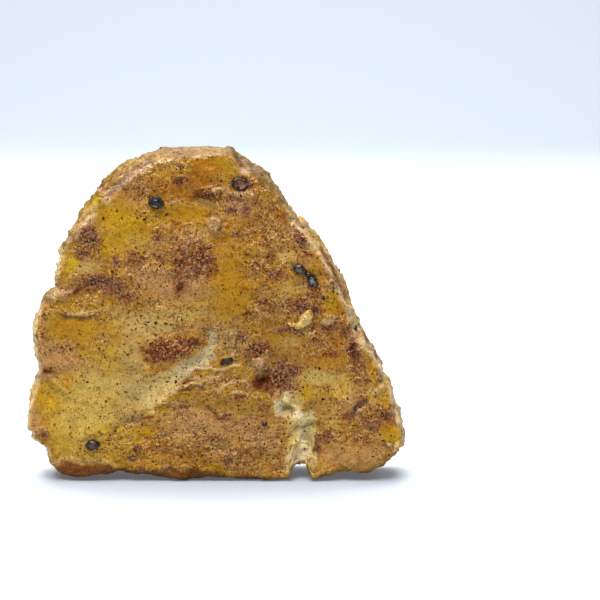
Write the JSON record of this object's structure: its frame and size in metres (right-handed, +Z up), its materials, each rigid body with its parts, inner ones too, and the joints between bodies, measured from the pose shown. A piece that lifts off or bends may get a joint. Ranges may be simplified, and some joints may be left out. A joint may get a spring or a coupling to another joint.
{
  "type": "japanese rice cracker",
  "caption": "Thick toasted rice cracker with a rounded triangular outline, a cracked and blistered glazed face, a split at its foot and black sesame seeds, standing on its long edge.",
  "frame": {"origin": "middle of the underside, on the surface that the cracker stands on", "axes": "+X to the right of the shown face, along the long edge; +Y through the thickness, from the shown face to the back; +Z up, from the long edge to the rounded top"},
  "size_m": [0.0811, 0.0175, 0.0707],
  "materials": {
    "toasted_dough": "toasted rice dough under an uneven satin soy glaze",
    "sesame_seed": "satin black seed coat",
    "pale_crumb": "matte dry crumb",
    "ground_pepper": "matte dry specks"
  },
  "bodies": {
    "root": {"cracker": "toasted_dough"}
  },
  "joints": []
}
